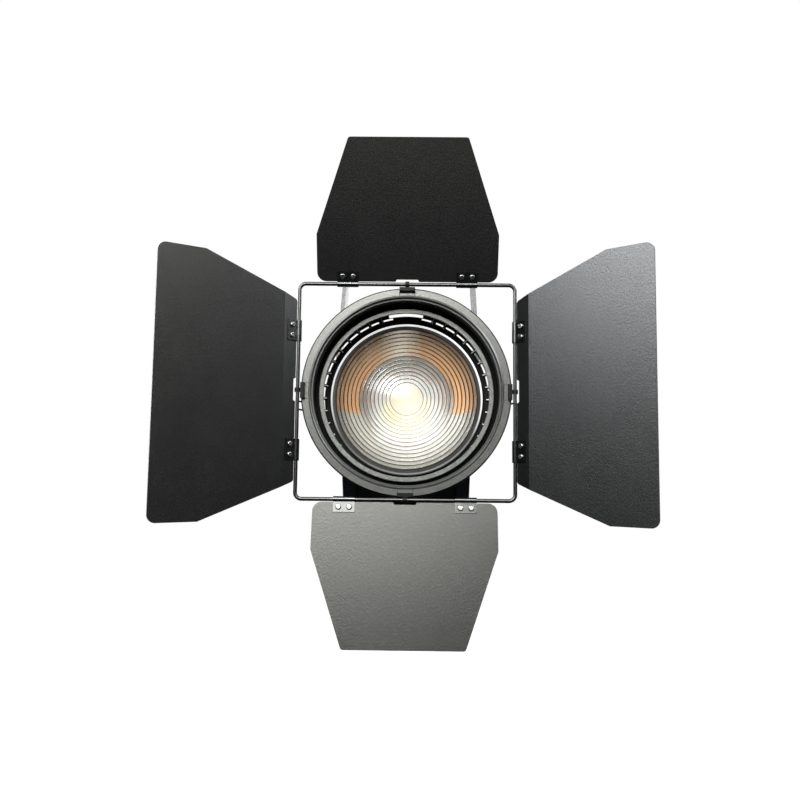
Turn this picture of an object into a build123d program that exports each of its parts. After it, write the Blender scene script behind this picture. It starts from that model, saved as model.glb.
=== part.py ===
from build123d import *
import os
from math import cos, sin, radians

# Fresnel spotlight with a four-leaf barn door, hung from a yoke.
# Working frame: X to the right of someone facing the lamp, Y away from them along the beam
# axis, Z up, origin at the centre of the barn-door wire frame. Every node is moved at export
# so that the row's origin is the middle of the bolt hole in the yoke. Millimetres.

# ---- driving dimensions ----
WIRE_SQUARE = 275.0          # side of the wire frame, centre line to centre line
WIRE_R = 2.5
WIRE_CORNER = 8.0
HINGE_Z = WIRE_SQUARE / 2    # each hinge axis is a side of the wire frame
RUN = 0.08                   # radial running clearance of shafts and hinges

RING_FACE_Y = 5.0            # front face of the barn-door ring
RING_R = 133.8
RING_MOUTH = 121.5
FLANGE_R = 127.0             # outside of the ring's rear flange, which the hooks hold
CATCH_Y = (13.5, 16.0)       # hooks and latch catch, just in front of that flange
SHEET = 1.6                  # sheet thickness of ring and barrel pressings

BARREL_FRONT_Y = 8.0
BARREL_BACK_Y = 92.0
BARREL_NECK_R = 121.0        # outside, where the ring turns
BARREL_R = 123.5             # outside, behind the ring
BEZEL_Y = 33.5
BEZEL_MOUTH, BEZEL_RIM = 107.0, 113.0
CHANNEL_R, CHANNEL_DEEP = 118.4, 8.0   # channel between the bezel's rim and the barrel

LENS_R = 100.0               # 200 mm lens
LENS_Y = 75.0                # plane of the lens rim
LENS_RINGS, LENS_BOSS_R, GROOVED_R = 14, 21.7, 93.0
LENS_LIP_R = 98.4            # the holder's lip overlaps the edge of the lens
LENS_RIBS = 40
LINER_BACK_R = 56.0          # small end of the cone between lens and lamp
SLOT_IN, SLOT_OUT = 108.8, 111.4

HOUSE_APOTHEM = 94.0         # octagonal rear housing
HOUSE_BACK_Y = 318.0
HOUSE_WALL = 2.0
COVER_DEEP = 9.0             # depth of the dished rear cover
GUSSET_R = 15.0              # corner plates that take the cover's screws

BOX_HALF_W = 87.0            # driver box under the housing
BOX_TOP, BOX_BOTTOM = -96.0, -166.0
BOX_FRONT_Y, BOX_BACK_Y = 120.0, 318.0
RAIL_W = 18.0                # side rails of the driver box
PANEL_FACE = 3.0             # outside of the control panel, behind the driver box

TILT_Y = 160.0
YOKE_LEAN = 40.0             # degrees that the yoke leans back from vertical
YOKE_LEN = 335.0             # tilt axis to the top of the crossbar
YOKE_HALF_W = 103.5          # outside of the arms
YOKE_BAR_W, YOKE_BAR_T = 40.0, 6.0
YOKE_BOLT_R = 6.5            # clearance hole for an M12 bolt
TILT_STUD_R = 5.0
PIVOT_THREAD_R = 3.0

LEAF_T = 1.5
LEAF_GAP = 3.4               # hinge axis to the near edge of a leaf
LEAF_HALF_HINGE, LEAF_HALF_WIDE, LEAF_HALF_END = 115.2, 115.9, 75.35
LEAF_WIDE_AT, LEAF_LEN = 63.4, 184.4
SIDE_HALF_HINGE, SIDE_HALF_KINK, SIDE_HALF_END = 115.85, 169.1, 172.4
SIDE_FOLD_AT, SIDE_KINK_AT, SIDE_LEN = 21.2, 123.85, 183.9
SIDE_FOLD = 12.2             # degrees that the panel lies flatter than its hinge strip
NOTCH_HALF, NOTCH_DEEP = 15.0, 3.0
CLIP_W, CLIP_AT = 27.0, 76.0
SCREW_SPREAD = 6.7
REST_TILT = {"top": 19.1, "right": 40.0, "bottom": 8.6, "left": 34.8}
SIDE_TURN = {"top": 0.0, "right": 90.0, "bottom": 180.0, "left": 270.0}

CARRIAGE_Y = 196.0           # front face of the lamp carriage at rest
ROD_X, ROD_R = 62.0, 4.0
SCREW_Z, LEAD_SCREW_R = -62.0, 4.0
COB_R = 16.0                 # glowing face of the light source
FAN_SIZE, FAN_T = 92.0, 25.0
FAN_Z = 14.0
BRACKET_Y = (122.0, 304.0)   # front faces of the rod brackets
INLET_X, SWITCH_X, SWITCH_Z = -48.0, -52.0, -114.0
LATCH_Y, LATCH_R = 41.0, 3.0
BUTTON_AT = (0.0, -146.0)
DIMMER_AT = (48.0, -128.0)
ROCKER_Y = 321.5
TRUNNION_R = 1.0
CASE_SCREW_R = 1.8
COVER_SCREW_AT = 81.5        # radius of the cover's screws, in line with four of its corners
PANEL_SCREW_X, PANEL_SCREW_Z = 80.0, (-157.0, -105.0)

up = Vector(0, sin(radians(YOKE_LEAN)), cos(radians(YOKE_LEAN)))
YOKE_BOLT = Vector(0, TILT_Y, 0) + up * (YOKE_LEN - YOKE_BAR_T / 2)
nodes = {}


# ---- shape helpers ----
def box(x, y, z):
    """A box from (low, high) pairs."""
    size = [high - low for low, high in (x, y, z)]
    centre = [(high + low) / 2 for low, high in (x, y, z)]
    return Pos(*centre) * Box(*size)


def rod(radius, start, end):
    """A cylinder from one point to another."""
    start, end = Vector(*start), Vector(*end)
    return Plane(origin=start, z_dir=end - start) * extrude(Circle(radius), (end - start).length)


def rod_y(radius, y0, y1, x=0.0, z=0.0):
    return rod(radius, (x, y0, z), (x, y1, z))


def ring_y(outer, inner, y0, y1, x=0.0, z=0.0):
    return rod_y(outer, y0, y1, x, z) - rod_y(inner, y0 - 1, y1 + 1, x, z)


def turned(points):
    """A solid of revolution about the beam axis, from (radius, y) points."""
    outline = Polyline(*[(r, y, 0) for r, y in points], close=True)
    return revolve(make_face(outline), Axis.Y, 360)


def around(shape, angles):
    """Copies of a shape turned about the beam axis, 0 at the top."""
    return [Rot(0, a, 0) * shape for a in angles]


def fuse(shapes):
    total = shapes[0]
    for shape in shapes[1:]:
        total = total + shape
    return total


def group(shapes):
    return Compound(children=[solid for shape in shapes for solid in shape.solids()])


def pan_screw(head_r, head_h, shank_r, length):
    """Cross-recess pan-head screw: the head sits on z = 0 and the shank goes down."""
    head = Cylinder(head_r, head_h, align=(Align.CENTER, Align.CENTER, Align.MIN))
    head = fillet(head.edges().sort_by(Axis.Z)[-1], head_h * 0.6)
    shank = Cylinder(shank_r, length, align=(Align.CENTER, Align.CENTER, Align.MAX))
    slot = Pos(0, 0, head_h) * Box(head_r * 1.3, head_r * 0.36, head_h)
    return head + shank - slot - Rot(0, 0, 90) * slot


def lobed_knob(radius, lobe_r, count, thick, edge):
    """Knob body with finger lobes, on z = 0, with a stepped-in top edge."""
    lobes = [Rot(0, 0, i * 360 / count) * Pos(radius, 0) * Circle(lobe_r) for i in range(count)]
    tops = [Rot(0, 0, i * 360 / count) * Pos(radius, 0) * Circle(lobe_r - edge)
            for i in range(count)]
    low = extrude(fuse([Circle(radius), *lobes]), thick - edge)
    return low + Pos(0, 0, thick - edge) * extrude(fuse([Circle(radius - edge), *tops]), edge)


def octagon(apothem, y0, y1):
    face = RegularPolygon(apothem, 8, major_radius=False, rotation=22.5)
    return Plane(origin=(0, y0, 0), x_dir=(1, 0, 0), z_dir=(0, -1, 0)) * extrude(face, y0 - y1)


def sector(y0, y1, start, stop, reach=200.0):
    """A wedge about the beam axis between two angles from the top, clockwise seen from the front."""
    points = [(0, 0)]
    steps = max(2, int(abs(stop - start) / 30) + 1)
    for i in range(steps + 1):
        a = radians(start + (stop - start) * i / steps)
        points.append((reach * sin(a), reach * cos(a)))
    face = make_face(Polyline(*points, close=True))
    return Plane(origin=(0, y0, 0), x_dir=(1, 0, 0), z_dir=(0, -1, 0)) * extrude(face, y0 - y1)


# ---- yoke ----
def yoke_frame():
    """Local frame of the yoke: x across, y up the arms from the tilt axis, z to its front."""
    return Plane(origin=(0, TILT_Y, 0), x_dir=(1, 0, 0),
                 z_dir=(0, -cos(radians(YOKE_LEAN)), sin(radians(YOKE_LEAN))))


def make_yoke():
    half, inner = YOKE_HALF_W, YOKE_HALF_W - YOKE_BAR_T
    chamfer_len = 16.0
    outer = make_face(Polyline((-half, -30), (-half, YOKE_LEN - chamfer_len),
                               (-half + chamfer_len, YOKE_LEN), (half - chamfer_len, YOKE_LEN),
                               (half, YOKE_LEN - chamfer_len), (half, -30), close=True))
    step = YOKE_BAR_T * 0.414
    inside = make_face(Polyline((-inner, -40), (-inner, YOKE_LEN - chamfer_len - step),
                                (-inner + chamfer_len - step, YOKE_LEN - YOKE_BAR_T),
                                (inner - chamfer_len + step, YOKE_LEN - YOKE_BAR_T),
                                (inner, YOKE_LEN - chamfer_len - step), (inner, -40), close=True))
    strap = Pos(0, 0, -YOKE_BAR_W / 2) * extrude(outer - inside, YOKE_BAR_W)
    side = make_face(Polyline((-YOKE_BAR_W / 2, 0), (-YOKE_BAR_W / 2, YOKE_LEN + 1),
                              (YOKE_BAR_W / 2, YOKE_LEN + 1), (YOKE_BAR_W / 2, 0), close=True))
    side = side + Circle(YOKE_BAR_W / 2)
    strap = strap & Plane.YZ * Rot(0, 0, -90) * Pos(0, 0, -150) * extrude(side, 300)
    strap = strap - rod(TILT_STUD_R + RUN, (-150, 0, 0), (150, 0, 0))
    strap = strap - rod(YOKE_BOLT_R, (0, YOKE_LEN - 20, 0), (0, YOKE_LEN + 5, 0))
    for x in (-50, 50):
        strap = strap - rod(4.3, (x, YOKE_LEN - 20, 0), (x, YOKE_LEN + 5, 0))
    return yoke_frame() * strap


# ---- barrel, bezel and lens ----
def make_barrel():
    tube = ring_y(BARREL_NECK_R, BARREL_NECK_R - 2, BARREL_FRONT_Y, BEZEL_Y)
    shoulder = ring_y(BARREL_R, BARREL_NECK_R - 2, BEZEL_Y - 2, BEZEL_Y)
    back = ring_y(BARREL_R, BARREL_R - 2, BEZEL_Y - 0.5, BARREL_BACK_Y)
    seat = ring_y(BARREL_R - 1.5, BARREL_R - 5, LENS_Y + 4.0, LENS_Y + 6)
    return tube + shoulder + back + seat


def make_bezel():
    """Raised rim round the mouth, and a deep channel between that rim and the barrel."""
    front, floor, seat = BEZEL_Y - 0.6, BEZEL_Y + CHANNEL_DEEP, BARREL_R - 2.3
    return turned([(BEZEL_MOUTH, front + 2.6), (BEZEL_MOUTH, front + 0.8), (BEZEL_MOUTH + 0.7, front),
                   (BEZEL_RIM - 0.7, front), (BEZEL_RIM, front + 0.8), (BEZEL_RIM, floor),
                   (CHANNEL_R, floor), (CHANNEL_R, BEZEL_Y + 0.6), (seat, BEZEL_Y + 0.6),
                   (seat, BEZEL_Y + 0.6 + SHEET), (CHANNEL_R + SHEET, BEZEL_Y + 0.6 + SHEET),
                   (CHANNEL_R + SHEET, floor + SHEET), (BEZEL_RIM - SHEET, floor + SHEET),
                   (BEZEL_RIM - SHEET, front + 2.6)])


def make_lens_holder():
    """Plate round the lens with arc slots, a fin across each gap and a window at the top."""
    y0, y1 = LENS_Y - 1.0, LENS_Y + 3.6
    bore, collar = LENS_R + 0.8, LENS_R + 2.4
    holder = ring_y(BARREL_R - 2.4, bore, y0 + 2.0, y1)
    holder = holder + turned([(LENS_LIP_R, y0 + 1.1), (LENS_LIP_R, y0 - 0.3),
                              (LENS_LIP_R + 0.6, y0 - 0.9), (collar - 0.7, y0 - 1.4),
                              (collar, y0 - 0.8), (collar, y0 + 2.5), (bore, y0 + 2.5),
                              (bore, y0 + 1.1)])
    pitch = 360 / LENS_RIBS
    slots = ring_y(SLOT_OUT, SLOT_IN, y0 - 1, y1 + 1)
    cutters = [sector(y0 - 2, y1 + 2, a + 1.1, a + pitch - 1.1)
               for a in (pitch * i for i in range(LENS_RIBS)) if 8 < a + pitch / 2 < 352]
    for cutter in cutters:
        holder = holder - (slots & cutter)
    window = ring_y(116.4, 111.9, y0 - 1, y1 + 1) & sector(y0 - 2, y1 + 2, -12.5, 10.5)
    holder = holder - window
    fin = box((-0.6, 0.6), (y0 - 1.6, y0 + 2.5), (SLOT_IN - 3.0, SLOT_OUT + 2.2))
    angles = [pitch * i for i in range(LENS_RIBS) if 12 < pitch * i < 348]
    return fuse([holder, *around(fin, angles)])


def make_lens():
    """Plano-convex lens collapsed into rings: a flat back and saw-tooth ring faces in front."""
    back, rim = LENS_Y + 3.2, LENS_Y + 0.4
    pitch = (GROOVED_R - LENS_BOSS_R) / LENS_RINGS
    points = [(0, back), (LENS_R, back), (LENS_R, rim), (GROOVED_R + 1.2, rim)]
    for i in reversed(range(LENS_RINGS)):
        inner = LENS_BOSS_R + pitch * i
        rise = 0.9 + 2.6 * i / (LENS_RINGS - 1)
        points += [(inner + pitch, rim - 0.6), (inner + 0.05, rim - 0.6 - rise)]
    crown = [(LENS_BOSS_R * (6 - i) / 6, rim - 0.8 - 4.2 * (1 - ((6 - i) / 6) ** 2))
             for i in range(7)]
    return turned(points + crown)


def make_lens_clips():
    """Three flat springs behind the holder, which press the lens to its lip."""
    y = LENS_Y + 3.7
    clip = box((-5, 5), (y, y + 1.0), (98.9, 106.0)) + box((-5, 5), (y - 0.4, y + 0.6), (96.5, 99.9))
    return group(around(clip, (60, 180, 300)))


def make_bulkhead():
    """Plate that joins barrel and housing, open in two long arcs for cooling air."""
    y0, y1 = BARREL_BACK_Y - 2.2, BARREL_BACK_Y
    plate = rod_y(BARREL_R - 2.3, y0, y1)
    arcs = ring_y(BARREL_R - 3.4, 105.0, y0 - 1, y1 + 1)
    for start, stop in ((-98, -20), (-17, 17), (20, 98)):
        plate = plate - (arcs & sector(y0 - 2, y1 + 2, start, stop))
    return plate - rod_y(92.0, y0 - 1, y1 + 1)


def half_liner(keep_low, keep_high):
    """Half of the sheet cone that shields the housing between lens and lamp."""
    y0, y1, wall = LENS_Y + 5.0, 120.0, 1.5
    neck = BARREL_BACK_Y
    outer = [(101.0, y0), (91.4, neck - 2.8), (91.4, neck + 0.6), (LINER_BACK_R, y1)]
    cone = turned(outer + [(r - wall, y) for r, y in reversed(outer)])
    return cone & box((-120, 120), (y0 - 1, y1 + 1), (keep_low, keep_high))


# ---- rear housing and driver box ----
def cover_screw_spots():
    return [(COVER_SCREW_AT * sin(radians(a)), COVER_SCREW_AT * cos(radians(a)))
            for a in (22.5, 157.5, 202.5, 337.5)]


def panel_screw_spots():
    return [(x, z) for x in (-PANEL_SCREW_X, PANEL_SCREW_X) for z in PANEL_SCREW_Z]


def make_rear_housing():
    y0, y1 = BARREL_BACK_Y + 0.2, HOUSE_BACK_Y
    shell = octagon(HOUSE_APOTHEM, y0, y1) - octagon(HOUSE_APOTHEM - HOUSE_WALL, y0 - 1, y1 + 1)
    slots = []
    for turn in (0, 45, 90, 270, 315):
        first = 214.0 if turn in (90, 270) else 116.0
        row = [Pos(0, first + 13 * i, HOUSE_APOTHEM) * Box(48, 4.5, 12)
               for i in range(int((300 - first) / 13))]
        slots += around(fuse(row), [turn])
    for row in slots:
        shell = shell - row
    floor_slot = box((-60, 60), (200, 290), (-HOUSE_APOTHEM - 2, -HOUSE_APOTHEM + 4))
    shell = shell - floor_slot
    for x in (-1, 1):
        shell = shell - rod(6.0, (x * 80, TILT_Y, 0), (x * 110, TILT_Y, 0))
    inside = octagon(HOUSE_APOTHEM - HOUSE_WALL / 2, y1 - 3, y1)
    for x, z in cover_screw_spots():
        shell = shell + (rod_y(GUSSET_R, y1 - 3, y1, x * 1.1, z * 1.1) & inside)
        shell = shell - rod_y(CASE_SCREW_R + 0.05, y1 - 4, y1 + 1, x, z)
    return shell


def make_rear_cover():
    """Dished cover with the fan opening and the focus shaft's hole."""
    y0, y1 = HOUSE_BACK_Y + 0.2, HOUSE_BACK_Y + COVER_DEEP
    cover = octagon(HOUSE_APOTHEM, y0, y1)
    cover = chamfer(cover.faces().sort_by(Axis.Y)[-1].edges(), 5)
    cover = cover - octagon(HOUSE_APOTHEM - 7, y0 - 1, y1 - 2.4)
    cover = cover - rod_y(44, y0 - 1, y1 + 1, z=FAN_Z)
    for x, z in cover_screw_spots():
        cover = cover + rod_y(4.5, y0, y1 - 1, x, z) - rod_y(CASE_SCREW_R + 0.05, y0 - 1, y1 + 1, x, z)
    return cover - rod_y(6.3, y0 - 1, y1 + 1, z=SCREW_Z)


def make_fan_frame():
    y1 = HOUSE_BACK_Y + 6.3
    y0 = y1 - FAN_T
    half = FAN_SIZE / 2
    frame = box((-half, half), (y0, y1), (FAN_Z - half, FAN_Z + half))
    frame = frame - rod_y(43.5, y0 - 1, y1 + 1, z=FAN_Z)
    for x in (-41.3, 41.3):
        for z in (-41.3, 41.3):
            frame = frame - rod_y(2.2, y0 - 1, y1 + 1, x, FAN_Z + z)
    hub = rod_y(17, y0, y0 + 4, z=FAN_Z)
    struts = [Pos(0, 0, FAN_Z) * Rot(0, a, 0) * box((-2, 2), (y0, y0 + 4), (15, 45))
              for a in (45, 135, 225, 315)]
    pin = rod_y(1.5, y0 + 3, y0 + 16, z=FAN_Z)
    return fuse([frame, hub, *struts, pin])


def make_fan_rotor():
    y1 = HOUSE_BACK_Y + 5.0
    y0 = y1 - FAN_T + 7.5
    hub = rod_y(17, y0, y1, z=FAN_Z) - rod_y(1.5 + RUN, y0 - 1, y0 + 12, z=FAN_Z)
    blade = box((-1, 1), (y0 + 1, y1 - 1), (15, 42.0))
    blade = Rot(0, 0, 32) * Pos(0, -(y0 + y1) / 2, 0) * blade
    blade = Pos(0, (y0 + y1) / 2, 0) * blade
    keep = rod_y(42.2, y0 + 0.5, y1 - 0.5)
    blades = [Pos(0, 0, FAN_Z) * b for b in around(blade & keep, [i * 360 / 7 for i in range(7)])]
    return fuse([hub, *blades])


def make_fan_guard():
    """Round wire guard over the fan, on the outside of the cover."""
    y = HOUSE_BACK_Y + 10.2
    rings = [Pos(0, y, FAN_Z) * Rot(90, 0, 0) * Torus(r, 1.1) for r in (14, 23, 32, 41)]
    bars = [Pos(0, 0, FAN_Z) * Rot(0, a, 0) * box((-1.4, 1.4), (y - 0.7, y + 0.7), (11, 47))
            for a in (45, 135, 225, 315)]
    return fuse([*rings, *bars])


def make_tilt_bosses():
    """Round bosses that carry the tilt studs, bolted to the sides of the housing."""
    bosses = []
    for side in (-1, 1):
        boss = rod(24, (side * 94.3, TILT_Y, 0), (side * 96.4, TILT_Y, 0))
        boss = boss + rod(16, (side * 84.0, TILT_Y, 0), (side * 91.8, TILT_Y, 0))
        boss = boss + rod(5.9, (side * 91.0, TILT_Y, 0), (side * 95.0, TILT_Y, 0))
        radius = TILT_STUD_R + RUN if side > 0 else PIVOT_THREAD_R
        bosses.append(boss - rod(radius, (side * 83, TILT_Y, 0), (side * 98, TILT_Y, 0)))
    return group(bosses)


def make_friction_washers():
    return group([rod(19, (s * 96.5, TILT_Y, 0), (s * 97.4, TILT_Y, 0))
                  - rod(5.6, (s * 96, TILT_Y, 0), (s * 98, TILT_Y, 0)) for s in (-1, 1)])


def make_pivot_bolt():
    """Shoulder bolt on the left arm: dome head, shoulder in the arm and thread in the boss."""
    x = -YOKE_HALF_W
    head = rod(10, (x - 0.4, TILT_Y, 0), (x - 6.4, TILT_Y, 0))
    head = fillet(head.edges().sort_by(Axis.X)[0], 3.5)
    socket = Plane(origin=(x - 6.5, TILT_Y, 0), z_dir=(1, 0, 0)) * extrude(RegularPolygon(3.5, 6), 3.5)
    shoulder = rod(TILT_STUD_R, (x - 0.5, TILT_Y, 0), (-96.6, TILT_Y, 0))
    thread = rod(PIVOT_THREAD_R, (-96.7, TILT_Y, 0), (-84.5, TILT_Y, 0))
    return head - socket + shoulder + thread


def make_tilt_knob():
    x0 = YOKE_HALF_W + 1.6
    knob = lobed_knob(19, 6, 6, 17, 1.2)
    knob = knob + Pos(0, 0, -1.2) * Cylinder(12, 8, align=(Align.CENTER, Align.CENTER, Align.MIN))
    knob = knob - Pos(0, 0, -2) * Cylinder(TILT_STUD_R, 13, align=(Align.CENTER,) * 2 + (Align.MIN,))
    return Plane(origin=(x0, TILT_Y, 0), z_dir=(1, 0, 0)) * knob


def make_tilt_stud():
    return rod(TILT_STUD_R, (85.0, TILT_Y, 0), (YOKE_HALF_W + 12.6, TILT_Y, 0))


def box_outline(y0, y1, low, high):
    """Side view of the driver box: its front leans back towards the bottom."""
    slope = 0.95
    front = y0 + (BOX_TOP - low) * slope
    return make_face(Polyline((y0, high), (front, low), (y1, low), (y1, high), close=True))


def make_driver_box():
    outer = Plane.YZ * box_outline(BOX_FRONT_Y + 12, BOX_BACK_Y, BOX_BOTTOM, BOX_TOP)
    outer = Pos(-BOX_HALF_W + RAIL_W, 0, 0) * extrude(outer, 2 * (BOX_HALF_W - RAIL_W))
    inner = Plane.YZ * box_outline(BOX_FRONT_Y + 14.8, BOX_BACK_Y + 1, BOX_BOTTOM + 2,
                                   BOX_TOP - 2)
    inner = Pos(-BOX_HALF_W + RAIL_W + 2, 0, 0) * extrude(inner, 2 * (BOX_HALF_W - RAIL_W - 2))
    shell = outer - inner
    return shell - box((-59, 59), (200, 290), (BOX_TOP - 4, BOX_TOP + 1))


def make_driver_rails():
    """Hollow side rails of the driver box; they stand proud of its recessed front."""
    wall = 2.5
    rails = []
    for side in (-1, 1):
        left = side * (BOX_HALF_W - RAIL_W / 2) - RAIL_W / 2 + 0.1
        face = Plane.YZ * box_outline(BOX_FRONT_Y, BOX_BACK_Y, BOX_BOTTOM, BOX_TOP + 1.4)
        rail = Pos(left, 0, 0) * extrude(face, RAIL_W - 0.2)
        edges = rail.edges().filter_by(Axis.Y).group_by(Axis.Z)[0]
        rail = fillet(edges.sort_by(Axis.X)[-1 if side > 0 else 0], 6)
        core = Plane.YZ * box_outline(BOX_FRONT_Y + 4, BOX_BACK_Y - wall, BOX_BOTTOM + wall,
                                      BOX_TOP - wall)
        rail = rail - Pos(left + wall, 0, 0) * extrude(core, RAIL_W - 0.2 - 2 * wall)
        for z in PANEL_SCREW_Z:
            rail = rail - rod_y(CASE_SCREW_R + 0.05, BOX_BACK_Y - 6, BOX_BACK_Y + 1,
                                side * PANEL_SCREW_X, z)
        rails.append(rail)
    return group(rails)


def make_driver_board():
    floor = BOX_BOTTOM + 6
    board = box((-60, 60), (196, 300), (floor, floor + 1.6))
    parts = [box((x, x + w), (y, y + d), (floor + 1.5, floor + h)) for x, w, y, d, h in
             ((-52, 38, 206, 34, 30), (-8, 30, 204, 40, 26), (30, 24, 210, 26, 20),
              (-50, 18, 250, 40, 16), (20, 34, 252, 36, 12))]
    cans = [rod(8.0, (x, y, floor + 1.5), (x, y, floor + 26)) for x in (-20, 0) for y in (262, 282)]
    return fuse([board, *parts, *cans])


def make_control_panel():
    """Rear plate of the driver box with cut-outs for its controls and inlet."""
    y0, y1 = BOX_BACK_Y + 0.2, BOX_BACK_Y + PANEL_FACE
    plate = box((-BOX_HALF_W + 1, BOX_HALF_W - 1), (y0, y1), (BOX_BOTTOM + 1, BOX_TOP - 1))
    plate = fillet(plate.edges().filter_by(Axis.Y), 4)
    plate = plate - box((INLET_X - 14.3, INLET_X + 14.3), (y0 - 1, y1 + 1), (-152.3, -131.7))
    plate = plate - box((SWITCH_X - 9.2, SWITCH_X + 9.2), (y0 - 1, y1 + 1),
                        (SWITCH_Z - 6.2, SWITCH_Z + 6.2))
    plate = plate - box((-26, 14), (y0 - 1, y1 + 1), (-128, -108))
    for x, z in panel_screw_spots():
        plate = plate - rod_y(CASE_SCREW_R + 0.05, y0 - 1, y1 + 1, x, z)
    plate = plate - rod_y(4.3, y0 - 1, y1 + 1, *BUTTON_AT)
    return plate - rod_y(3.3, y0 - 1, y1 + 1, *DIMMER_AT)


def make_display():
    y0 = BOX_BACK_Y + 3.2
    window = box((-29, 17), (y0, y0 + 1.8), (-131, -105))
    return chamfer(window.faces().sort_by(Axis.Y)[-1].edges(), 0.8)


def make_power_inlet():
    """Three-blade appliance inlet with a flange."""
    y1 = BOX_BACK_Y + 5.2
    flange = box((INLET_X - 17, INLET_X + 17), (y1 - 2, y1), (-155, -129))
    flange = fillet(flange.edges().filter_by(Axis.Y), 3)
    body = box((INLET_X - 14, INLET_X + 14), (y1 - 22, y1 - 1), (-152, -132))
    socket = box((INLET_X - 12, INLET_X + 12), (y1 - 17, y1 + 1), (-150.2, -133.8))
    blades = [box((INLET_X + x - 1, INLET_X + x + 1), (y1 - 18, y1 - 6), (z - 2, z + 2))
              for x, z in ((-7, -144.5), (7, -144.5), (0, -138.5))]
    return fuse([flange + body - socket, *blades])


def make_power_switch():
    """Frame of the rocker switch."""
    y1 = BOX_BACK_Y + 4.8
    frame = box((SWITCH_X - 9, SWITCH_X + 9), (y1 - 16.8, y1), (SWITCH_Z - 6, SWITCH_Z + 6))
    frame = frame + box((SWITCH_X - 11, SWITCH_X + 11), (y1 - 1.6, y1),
                        (SWITCH_Z - 8, SWITCH_Z + 8))
    frame = frame - box((SWITCH_X - 7.4, SWITCH_X + 7.4), (y1 - 14.8, y1 + 1),
                        (SWITCH_Z - 4.4, SWITCH_Z + 4.4))
    return frame - rod(TRUNNION_R + RUN, (SWITCH_X, ROCKER_Y, SWITCH_Z - 5.6),
                       (SWITCH_X, ROCKER_Y, SWITCH_Z + 5.6))


def make_power_rocker():
    """Rocker that tips on two trunnions on an upright axis."""
    points = ((-3.6, -5.0), (-6.4, 2.6), (0, 1.2), (6.6, -0.4), (3.6, -5.0))
    face = make_face(Polyline(*points, close=True))
    rocker = extrude(face, 8) + Pos(0, 0, 4) * Cylinder(TRUNNION_R, 10.8)
    return Pos(SWITCH_X, ROCKER_Y, SWITCH_Z - 4) * rocker


def make_dimmer_knob():
    x, z = DIMMER_AT
    y0 = BOX_BACK_Y + 3.8
    knob = rod_y(13, y0, y0 + 15, x, z)
    knob = chamfer(knob.faces().sort_by(Axis.Y)[-1].edges(), 1.2)
    for i in range(18):
        a = radians(20 * i)
        knob = knob - rod_y(0.9, y0 + 2, y0 + 16, x + 13.2 * sin(a), z + 13.2 * cos(a))
    pointer = box((x - 0.6, x + 0.6), (y0 + 14.2, y0 + 16), (z + 4, z + 11))
    return knob - pointer + rod_y(3.0, BOX_BACK_Y - 12, y0 + 1, x, z)


def make_menu_button():
    cap = rod_y(4.0, BOX_BACK_Y - 4, BOX_BACK_Y + 7.0, *BUTTON_AT)
    cap = fillet(cap.edges().sort_by(Axis.Y)[-1], 1.2)
    return cap + rod_y(5.6, BOX_BACK_Y - 4, BOX_BACK_Y - 1.2, *BUTTON_AT)


# ---- lamp carriage and focus drive ----
def make_guide_rods():
    return group([rod_y(ROD_R, BRACKET_Y[0], HOUSE_BACK_Y - 4, x) for x in (-ROD_X, ROD_X)])


def make_rod_brackets():
    """Blocks on the housing walls that hold the rods, and on its floor the lead screw."""
    wall = HOUSE_APOTHEM - HOUSE_WALL - 0.2
    blocks = []
    for y0 in BRACKET_Y:
        for side in (-1, 1):
            inner, outer = sorted((side * (ROD_X - 7), side * wall))
            blocks.append(box((inner, outer), (y0, y0 + 8), (-10, 10))
                          - rod_y(ROD_R, y0 - 1, y0 + 9, side * ROD_X))
        blocks.append(box((-10, 10), (y0, y0 + 8), (-wall, SCREW_Z + 9))
                      - rod_y(LEAD_SCREW_R + RUN, y0 - 1, y0 + 9, z=SCREW_Z))
    return group(blocks)


def make_carriage():
    y0, y1 = CARRIAGE_Y, CARRIAGE_Y + 4
    plate = rod_y(78, y0, y1)
    for x in (-ROD_X, ROD_X):
        plate = plate - rod_y(7.0, y0 - 1, y1 + 1, x)
    plate = plate - rod_y(5.2, y0 - 1, y1 + 1, z=SCREW_Z)
    return plate - rod_y(18, y0 - 1, y1 + 1)


def make_bushes():
    y0, y1, collar = CARRIAGE_Y - 4, CARRIAGE_Y + 14, CARRIAGE_Y + 4.05
    bushes = [ring_y(6.9, ROD_R + RUN, y0, y1, x) + ring_y(9.5, 6.5, collar, CARRIAGE_Y + 7, x)
              for x in (-ROD_X, ROD_X)]
    return group(bushes)


def make_drive_nut():
    y0 = CARRIAGE_Y + 4.05
    flange = ring_y(11, LEAD_SCREW_R + RUN, y0, y0 + 3, z=SCREW_Z)
    return flange + ring_y(7, LEAD_SCREW_R + RUN, y0, y0 + 13, z=SCREW_Z)


def make_lead_screw():
    screw = rod_y(LEAD_SCREW_R, BRACKET_Y[0], HOUSE_BACK_Y + 22, z=SCREW_Z)
    collar = rod_y(6.2, BRACKET_Y[1] + 8.4, HOUSE_BACK_Y - 1.0, z=SCREW_Z)
    return screw + collar


def make_focus_knob():
    y0 = HOUSE_BACK_Y + 10.0
    plane = Plane(origin=(0, y0, SCREW_Z), z_dir=(0, 1, 0))
    knob = lobed_knob(14.5, 2.6, 12, 14, 1.0)
    knob = knob - Cylinder(LEAD_SCREW_R, 12.05, align=(Align.CENTER,) * 2 + (Align.MIN,))
    return plane * knob


def make_heat_spreader():
    """Copper block between the light source and the fins."""
    y0 = CARRIAGE_Y - 6
    block = box((-30, 30), (y0, CARRIAGE_Y - 0.05), (-30, 30))
    return block + rod_y(17.8, CARRIAGE_Y - 0.1, CARRIAGE_Y + 4.1)


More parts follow.
